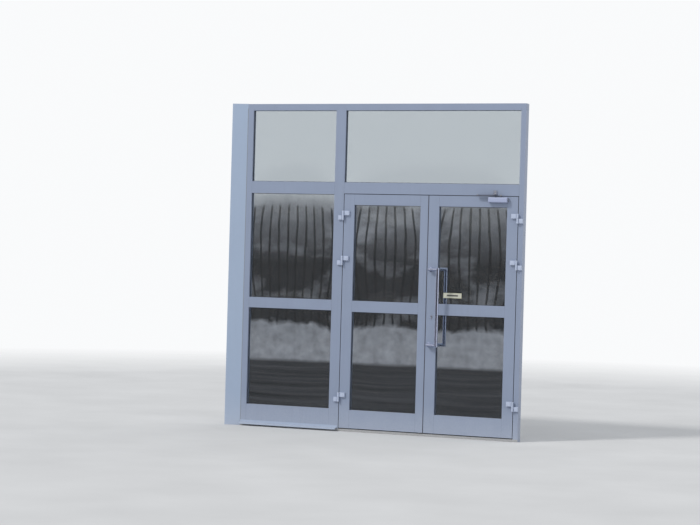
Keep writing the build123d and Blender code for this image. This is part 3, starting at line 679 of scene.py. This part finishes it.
def dressHandles():
    look = handleLook
    for name, node, way in (('outer', 'pull_handle_outer', -1), ('inner', 'pull_handle_inner', 1)):
        low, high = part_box(node)
        x = low.x + look['foot']
        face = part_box('right_meeting_stile')[0 if way < 0 else 1].y
        rings, screws = bmesh.new(), bmesh.new()
        for height in (low.z + look['foot'], high.z - look['foot']):
            ringPlace = placed((x, face + way * look['collarLift'], height), (0, way, 0))
            turn(rings, look['collar'], ringPlace, 48)
            under = (x, face + way * look['screwLift'], height - look['tubeRadius'])
            socketScrew(screws, placed(under, (0, 0, -1)), look['screwRadius'], look['screwRise'])
        addPiece(rings, name + 'HandleCollars', 'handleSteel', 'right_leaf')
        addPiece(screws, name + 'HandleSetScrews', 'fittingSteel', 'right_leaf')


# Joints between the bars, sealant, gap seals and threshold screws

seamLook = dict(width=0.0006, rise=0.00012, trim=0.0004, beside=0.001)
seamBars = {
    'frame': (('side_light_stile', 'mullion', 'right_jamb'),
              ('transom_left', 'transom_right', 'side_light_middle_rail',
               'side_light_bottom_rail', 'head_rail')),
    'left_leaf': (('left_hinge_stile', 'left_meeting_stile'),
                  ('left_top_rail', 'left_middle_rail', 'left_bottom_rail')),
    'right_leaf': (('right_meeting_stile', 'right_hinge_stile'),
                   ('right_top_rail', 'right_middle_rail', 'right_bottom_rail')),
}


def dressSeams():
    # a fine line where each rail meets an upright
    look = seamLook
    half, rise, beside = look['width'] / 2, look['rise'], look['beside']
    for body, (uprights, rails) in seamBars.items():
        lines = bmesh.new()
        for upright in uprights:
            low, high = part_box(upright)
            for rail in rails:
                railLow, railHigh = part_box(rail)
                for edge in (low.x, high.x):
                    meets = railLow.x - beside < edge < railHigh.x + beside
                    if meets and edge not in (railLow.x, railHigh.x):
                        top = min(railHigh.z, high.z)
                        slab(lines, (edge - half, railLow.y - rise, railLow.z + look['trim']),
                             (edge + half, railLow.y + rise, top - look['trim']))
        addPiece(lines, body + 'JointLines', 'jointShadow', body)


sealantLook = dict(size=0.0045, start=0.001)


def dressSealant():
    # a bead between the post and the first stile
    size, start = sealantLook['size'], sealantLook['start']
    low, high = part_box('side_light_stile')
    bead = bmesh.new()
    outline = [(-size, 0, 0), (0, -size * 0.35, 0), (size, 0, 0), (0, size * 0.2, 0)]
    bendStrip(bead, [(low.x, low.y, start), (low.x, low.y, high.z)], outline)
    addPiece(bead, 'postSealant', 'greySealant', 'frame')


gapLook = dict(setBack=0.0025, thick=0.002, reach=0.0048, topShare=0.85, lipDrop=0.016,
               soft=0.0004, tuck=0.0002, pileBack=0.0012, pileThick=0.0008, pileReach=0.0036,
               pileTrim=0.001)


def dressGaps():
    # a dark rubber lip on the frame's side of each gap, and pile on both meeting edges
    look = gapLook
    tuck = look['tuck']
    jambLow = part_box('right_jamb')[0]
    left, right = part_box('mullion')[1].x, jambLow.x
    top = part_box('transom_right')[0].z
    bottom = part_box('threshold')[1].z - look['lipDrop']
    front = jambLow.y + look['setBack']
    back = front + look['thick']
    lips = bmesh.new()
    for edge, way in ((left, 1), (right, -1)):
        slab(lips, (edge - way * tuck, front, bottom), (edge + way * look['reach'], back, top),
             look['soft'])
    slab(lips, (left, front, top - look['reach'] * look['topShare']), (right, back, top + tuck),
         look['soft'])
    addPiece(lips, 'gapLips', 'lipRubber', 'frame')
    for body, stile, side, way in (('left_leaf', 'left_meeting_stile', 1, 1),
                                   ('right_leaf', 'right_meeting_stile', 0, -1)):
        low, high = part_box(stile)
        edge = (low, high)[side].x
        front = low.y + look['pileBack']
        pile = bmesh.new()
        slab(pile, (edge - way * tuck, front, low.z + look['pileTrim']),
             (edge + way * look['pileReach'], front + look['pileThick'],
              high.z - look['pileTrim']))
        addPiece(pile, body + 'Pile', 'brushPile', body)


thresholdLook = dict(count=9, margin=0.12, inset=0.012, top=0.022, radius=0.0045)


def dressThreshold():
    look = thresholdLook
    low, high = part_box('threshold')
    pitch = (high.x - low.x - 2 * look['margin']) / (look['count'] - 1)
    screws = bmesh.new()
    for number in range(look['count']):
        x = low.x + look['margin'] + number * pitch
        sunkScrew(screws, placed((x, low.y + look['inset'], look['top'])), look['radius'])
    addPiece(screws, 'thresholdScrews', 'fittingSteel', 'frame')


# Closed ends of the hollow bars

endLook = dict(tuck=0.0002, plateInset=0.0005, plateThick=0.0012, plateTop=0.06,
               plateSoft=0.0004, cornerWide=0.020, cornerDeep=0.010, wall=0.002,
               glassSide=0.022, plugThick=0.003, rim=0.0005, lidTop=0.0014, lidShare=0.985)


def dressBarEnds():
    # thin plates on the open ends of head and threshold
    look = endLook
    inset = look['plateInset']
    plates = bmesh.new()
    for bar in ('head_rail', 'threshold'):
        low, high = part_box(bar)
        top = min(high.z, low.z + look['plateTop'])
        slab(plates, (high.x - look['tuck'], low.y + inset, low.z + inset),
             (high.x + look['plateThick'], high.y - inset, top - inset), look['plateSoft'])
    addPiece(plates, 'barEndPlates', 'framePaint', 'frame')


def dressStopCorners():
    # blocks that close the stop profiles behind the doorway's upper corners
    look = endLook
    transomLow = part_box('transom_right')[0]
    blocks = bmesh.new()
    for bar, side, way in (('stop_profile_left', 0, 1), ('stop_profile_right', 1, -1)):
        low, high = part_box(bar)
        outer = (low, high)[side].x
        slab(blocks, (outer, high.y - look['cornerDeep'], high.z),
             (outer + way * look['cornerWide'], high.y, transomLow.z))
    addPiece(blocks, 'stopCorners', 'framePaint', 'frame')


def dressStilePlugs():
    # plugs in the hollow ends of the leaves' stiles, clear of the side where the glass sits
    look = endLook
    wall, thick = look['wall'], look['plugThick']
    glassLeft, glassRight = (look['glassSide'], wall), (wall, look['glassSide'])
    stiles = {'left_leaf': {'left_hinge_stile': glassRight},
              'right_leaf': {'right_hinge_stile': glassLeft, 'right_meeting_stile': glassRight}}
    for leaf, clearances in stiles.items():
        plugs = bmesh.new()
        for stile, (fromLeft, fromRight) in clearances.items():
            low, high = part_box(stile)
            for under in (low.z + look['tuck'], high.z - look['tuck'] - thick):
                slab(plugs, (low.x + fromLeft, low.y + wall, under),
                     (high.x - fromRight, high.y - wall, under + thick))
        addPiece(plugs, leaf + 'StilePlugs', 'capPlastic', leaf)


def dressPostLid():
    # a lid on the hollow post, just inside its outline
    look = endLook
    post = cadNodes['corner_post']
    corners = [post.matrix_world @ vert.co for vert in post.data.vertices]
    top = max(corner.z for corner in corners)
    rim = list({(round(corner.x, 5), round(corner.y, 5)): corner for corner in corners
                if corner.z > top - look['rim']}.values())   # each corner once
    outline = [rim[n] for n in convex_hull_2d([corner.xy for corner in rim])]
    middle = sum(outline, Vector()) / len(outline)
    lid = bmesh.new()
    bendStrip(lid, [(0, 0, -look['tuck']), (0, 0, look['lidTop'])],
              [middle + (corner - middle) * look['lidShare'] for corner in outline])
    addPiece(lid, 'postLid', 'postPaintAndPaintedLight', 'frame')


dressHinges()
dressCloser()
dressLock()
dressHandles()
dressSeams()
dressSealant()
dressGaps()
dressThreshold()
dressBarEnds()
dressStopCorners()
dressStilePlugs()
dressPostLid()
print("fittings dressed")


# Studio

worldLook = dict(skyColour=(0.93, 0.96, 1.0, 1), skyLight=0.80, backColour=(0.98, 0.99, 1, 1),
                 backLight=0.97)


def makeWorld():
    # an even sky lights the door; camera rays and those through or off its glass see a pale ground
    look = worldLook
    world = bpy.data.worlds.new('softSky')
    scene.world = world
    world.use_nodes = True
    tree = world.node_tree
    sky = tree.nodes['Background']
    sky.inputs['Color'].default_value = look['skyColour']
    sky.inputs['Strength'].default_value = look['skyLight']
    paleBack = put(tree, 'ShaderNodeBackground', {'Color': look['backColour'],
                                                  'Strength': look['backLight']})
    rays = put(tree, 'ShaderNodeLightPath').outputs
    seen = sums(tree, 'MAXIMUM', rays['Is Camera Ray'], rays['Is Transmission Ray'])
    seen = sums(tree, 'MAXIMUM', seen, rays['Is Glossy Ray'])
    mixed = put(tree, 'ShaderNodeMixShader', {0: seen, 1: sky.outputs[0], 2: paleBack.outputs[0]})
    tree.links.new(mixed.outputs[0], tree.nodes['World Output'].inputs['Surface'])


floorLook = dict(colour=(0.62, 0.62, 0.62, 1), reach=14.0, fadeStart=8.0,
                 place=(-0.5, 0, -0.0005), sides=96, gloss=0.85)


def makeFloor():
    # a pale disc that fades into the background at its rim
    look = floorLook
    mesh = bpy.data.meshes.new('studioFloor')
    shape = bmesh.new()
    bmesh.ops.create_circle(shape, cap_ends=True, segments=look['sides'], radius=look['reach'])
    shape.to_mesh(mesh)
    shape.free()
    floor = addObject('studioFloor', mesh)
    floor.location = look['place']
    material, tree, shader = newMaterial('floorPale', {'Roughness': look['gloss'],
                                                       'Specular IOR Level': 0.0})
    where = coords(tree)
    tone = span(tree, noise(tree, where, 1.1, 5.0), 0.3, 0.7, 0.96, 1.04)
    tree.links.new(shaded(tree, look['colour'], tone), shader['Base Color'])
    away = put(tree, 'ShaderNodeVectorMath', {0: where}, operation='LENGTH').outputs['Value']
    tree.links.new(span(tree, away, look['fadeStart'], look['reach'], 1.0, 0.0), shader['Alpha'])
    floor.data.materials.append(material)


cardLook = dict(away=9.0, width=30.0, middle=-3.0, lift=0.002, matEnd=0.5, top=2.50, fade=0.30,
                stripLow=0.05, stripHigh=0.56, stripSoft=0.03, stripTone=0.45,
                matTone=0.075, matScale=(0.35, 1.6, 1), matSoft=0.05,
                boardTone=0.05, patchTone=0.24, patchScale=(1.1, 1, 2.3),
                slatPitch=0.122, slatEdge=(0.08, 0.15), slatShare=0.9, slatTone=0.035,
                slatTop=2.18, slatSoft=0.05, upperFrom=1.45, upperDeep=0.9, upperTone=0.26,
                blueShare=1.08)


def makeCard():
    # a glowing board and a mat before the door, seen only in the glass as a painted reflection:
    # dark with one pale strip, slats and a soft top
    look = cardLook
    half, near = look['width'] / 2, look['away'] - look['matEnd']
    lift, top = look['lift'], look['top']
    mesh = bpy.data.meshes.new('reflectionCard')
    corners = [(-half, near, lift), (half, near, lift), (half, 0, lift), (-half, 0, lift),
               (half, 0, top), (-half, 0, top)]
    mesh.from_pydata(corners, [], [(0, 1, 2, 3), (3, 2, 4, 5)])
    card = addObject('reflectionCard', mesh)
    card.location = (look['middle'], -look['away'], 0)
    card.visible_camera = False
    card.visible_diffuse = False
    card.visible_shadow = False
    material, tree, shader = newMaterial('cardPaintedReflection', {
        'Base Color': (0, 0, 0, 1), 'Roughness': 1.0, 'Specular IOR Level': 0.0,
        'Emission Strength': 1.0})
    where = coords(tree)
    place = axes(tree, where)
    across, height = place[0], place[2]
    lumps = noise(tree, where, 7.0, 6.0, 0.62)

    fromSlat = sums(tree, 'PINGPONG', sums(tree, 'DIVIDE', across, look['slatPitch']), 0.5)
    slats = sums(tree, 'MULTIPLY',
                 span(tree, fromSlat, *look['slatEdge'], look['slatShare'], 0.0),
                 span(tree, height, look['slatTop'], look['slatTop'] + look['slatSoft'], 1.0, 0.0))
    patches = noise(tree, stretched(tree, where, look['patchScale']), 1.0, 4.0, 0.55)
    board = sums(tree, 'MULTIPLY_ADD', span(tree, patches, 0.50, 0.68), look['patchTone'],
                 look['boardTone'])
    paler = span(tree, height, look['upperFrom'], look['upperFrom'] + look['upperDeep'])
    upper = sums(tree, 'MULTIPLY', sums(tree, 'MULTIPLY', paler, look['upperTone']),
                 sums(tree, 'MULTIPLY_ADD', lumps, 1.6, 0.2))
    board = span(tree, slats, 0.0, 1.0, sums(tree, 'ADD', board, upper), look['slatTone'])

    strip = sums(tree, 'MULTIPLY', span(tree, lumps, 0.25, 0.75, 0.55, 1.15), look['stripTone'])
    ragged = sums(tree, 'MULTIPLY_ADD', noise(tree, where, 1.7, 5.0, 0.6), 0.45, -0.22)
    aboveStrip = span(tree, sums(tree, 'ADD', height, ragged),
                      look['stripHigh'] - look['stripSoft'], look['stripHigh'] + look['stripSoft'])
    tone = span(tree, aboveStrip, 0.0, 1.0, strip, board)

    matMarks = noise(tree, stretched(tree, where, look['matScale']), 1.0, 5.0)
    mat = span(tree, matMarks, 0.3, 0.7, look['matTone'] * 0.6, look['matTone'] * 1.5)
    aboveMat = span(tree, height, look['stripLow'], look['stripLow'] + look['matSoft'])
    tone = span(tree, aboveMat, 0.0, 1.0, mat, tone)

    blue = sums(tree, 'MULTIPLY', tone, look['blueShare'])
    glow = put(tree, 'ShaderNodeCombineXYZ', {0: tone, 1: tone, 2: blue}).outputs[0]
    # the card glows with these tones, painting a reflection into the glass
    tree.links.new(glow, shader['Emission Color'])
    tree.links.new(span(tree, height, top - look['fade'], top, 1.0, 0.0), shader['Alpha'])
    card.data.materials.append(material)


sunLook = dict(power=1.4, spread=9, colour=(1.0, 0.985, 0.96), fromWhere=(-0.5, -0.65, 0.75))


def makeSun():
    light = bpy.data.lights.new('softKey', 'SUN')
    light.energy = sunLook['power']
    light.angle = math.radians(sunLook['spread'])
    light.color = sunLook['colour']
    lamp = addObject('softKey', light)
    lamp.rotation_euler = Vector(sunLook['fromWhere']).to_track_quat('Z', 'Y').to_euler()


# stands to the right of the doorway at eye height; angles in degrees
shot = dict(place=(5.966, -16.701, 1.6185), yaw=-21.9349, pitch=-0.3174, roll=-1.5527,
            lens=102.857, sensor=36.0, far=200)


def makeCamera():
    yaw, pitch, roll = (math.radians(shot[angle]) for angle in ('yaw', 'pitch', 'roll'))
    flat = Vector((math.sin(yaw), math.cos(yaw), 0))
    right = Vector((math.cos(yaw), -math.sin(yaw), 0))
    up = Vector((0, 0, 1))
    forward = flat * math.cos(pitch) + up * math.sin(pitch)
    level = up * math.cos(pitch) - flat * math.sin(pitch)
    cameraRight = right * math.cos(roll) - level * math.sin(roll)
    cameraUp = right * math.sin(roll) + level * math.cos(roll)
    data = bpy.data.cameras.new('viewer')
    data.lens = shot['lens']
    data.sensor_width = shot['sensor']
    data.clip_end = shot['far']
    camera = addObject('viewer', data)
    turned = Matrix((cameraRight, cameraUp, -forward)).transposed().to_4x4()
    camera.matrix_world = Matrix.Translation(shot['place']) @ turned
    scene.camera = camera


makeWorld()
makeFloor()
makeCard()
makeSun()
makeCamera()
print("studio and camera ready")
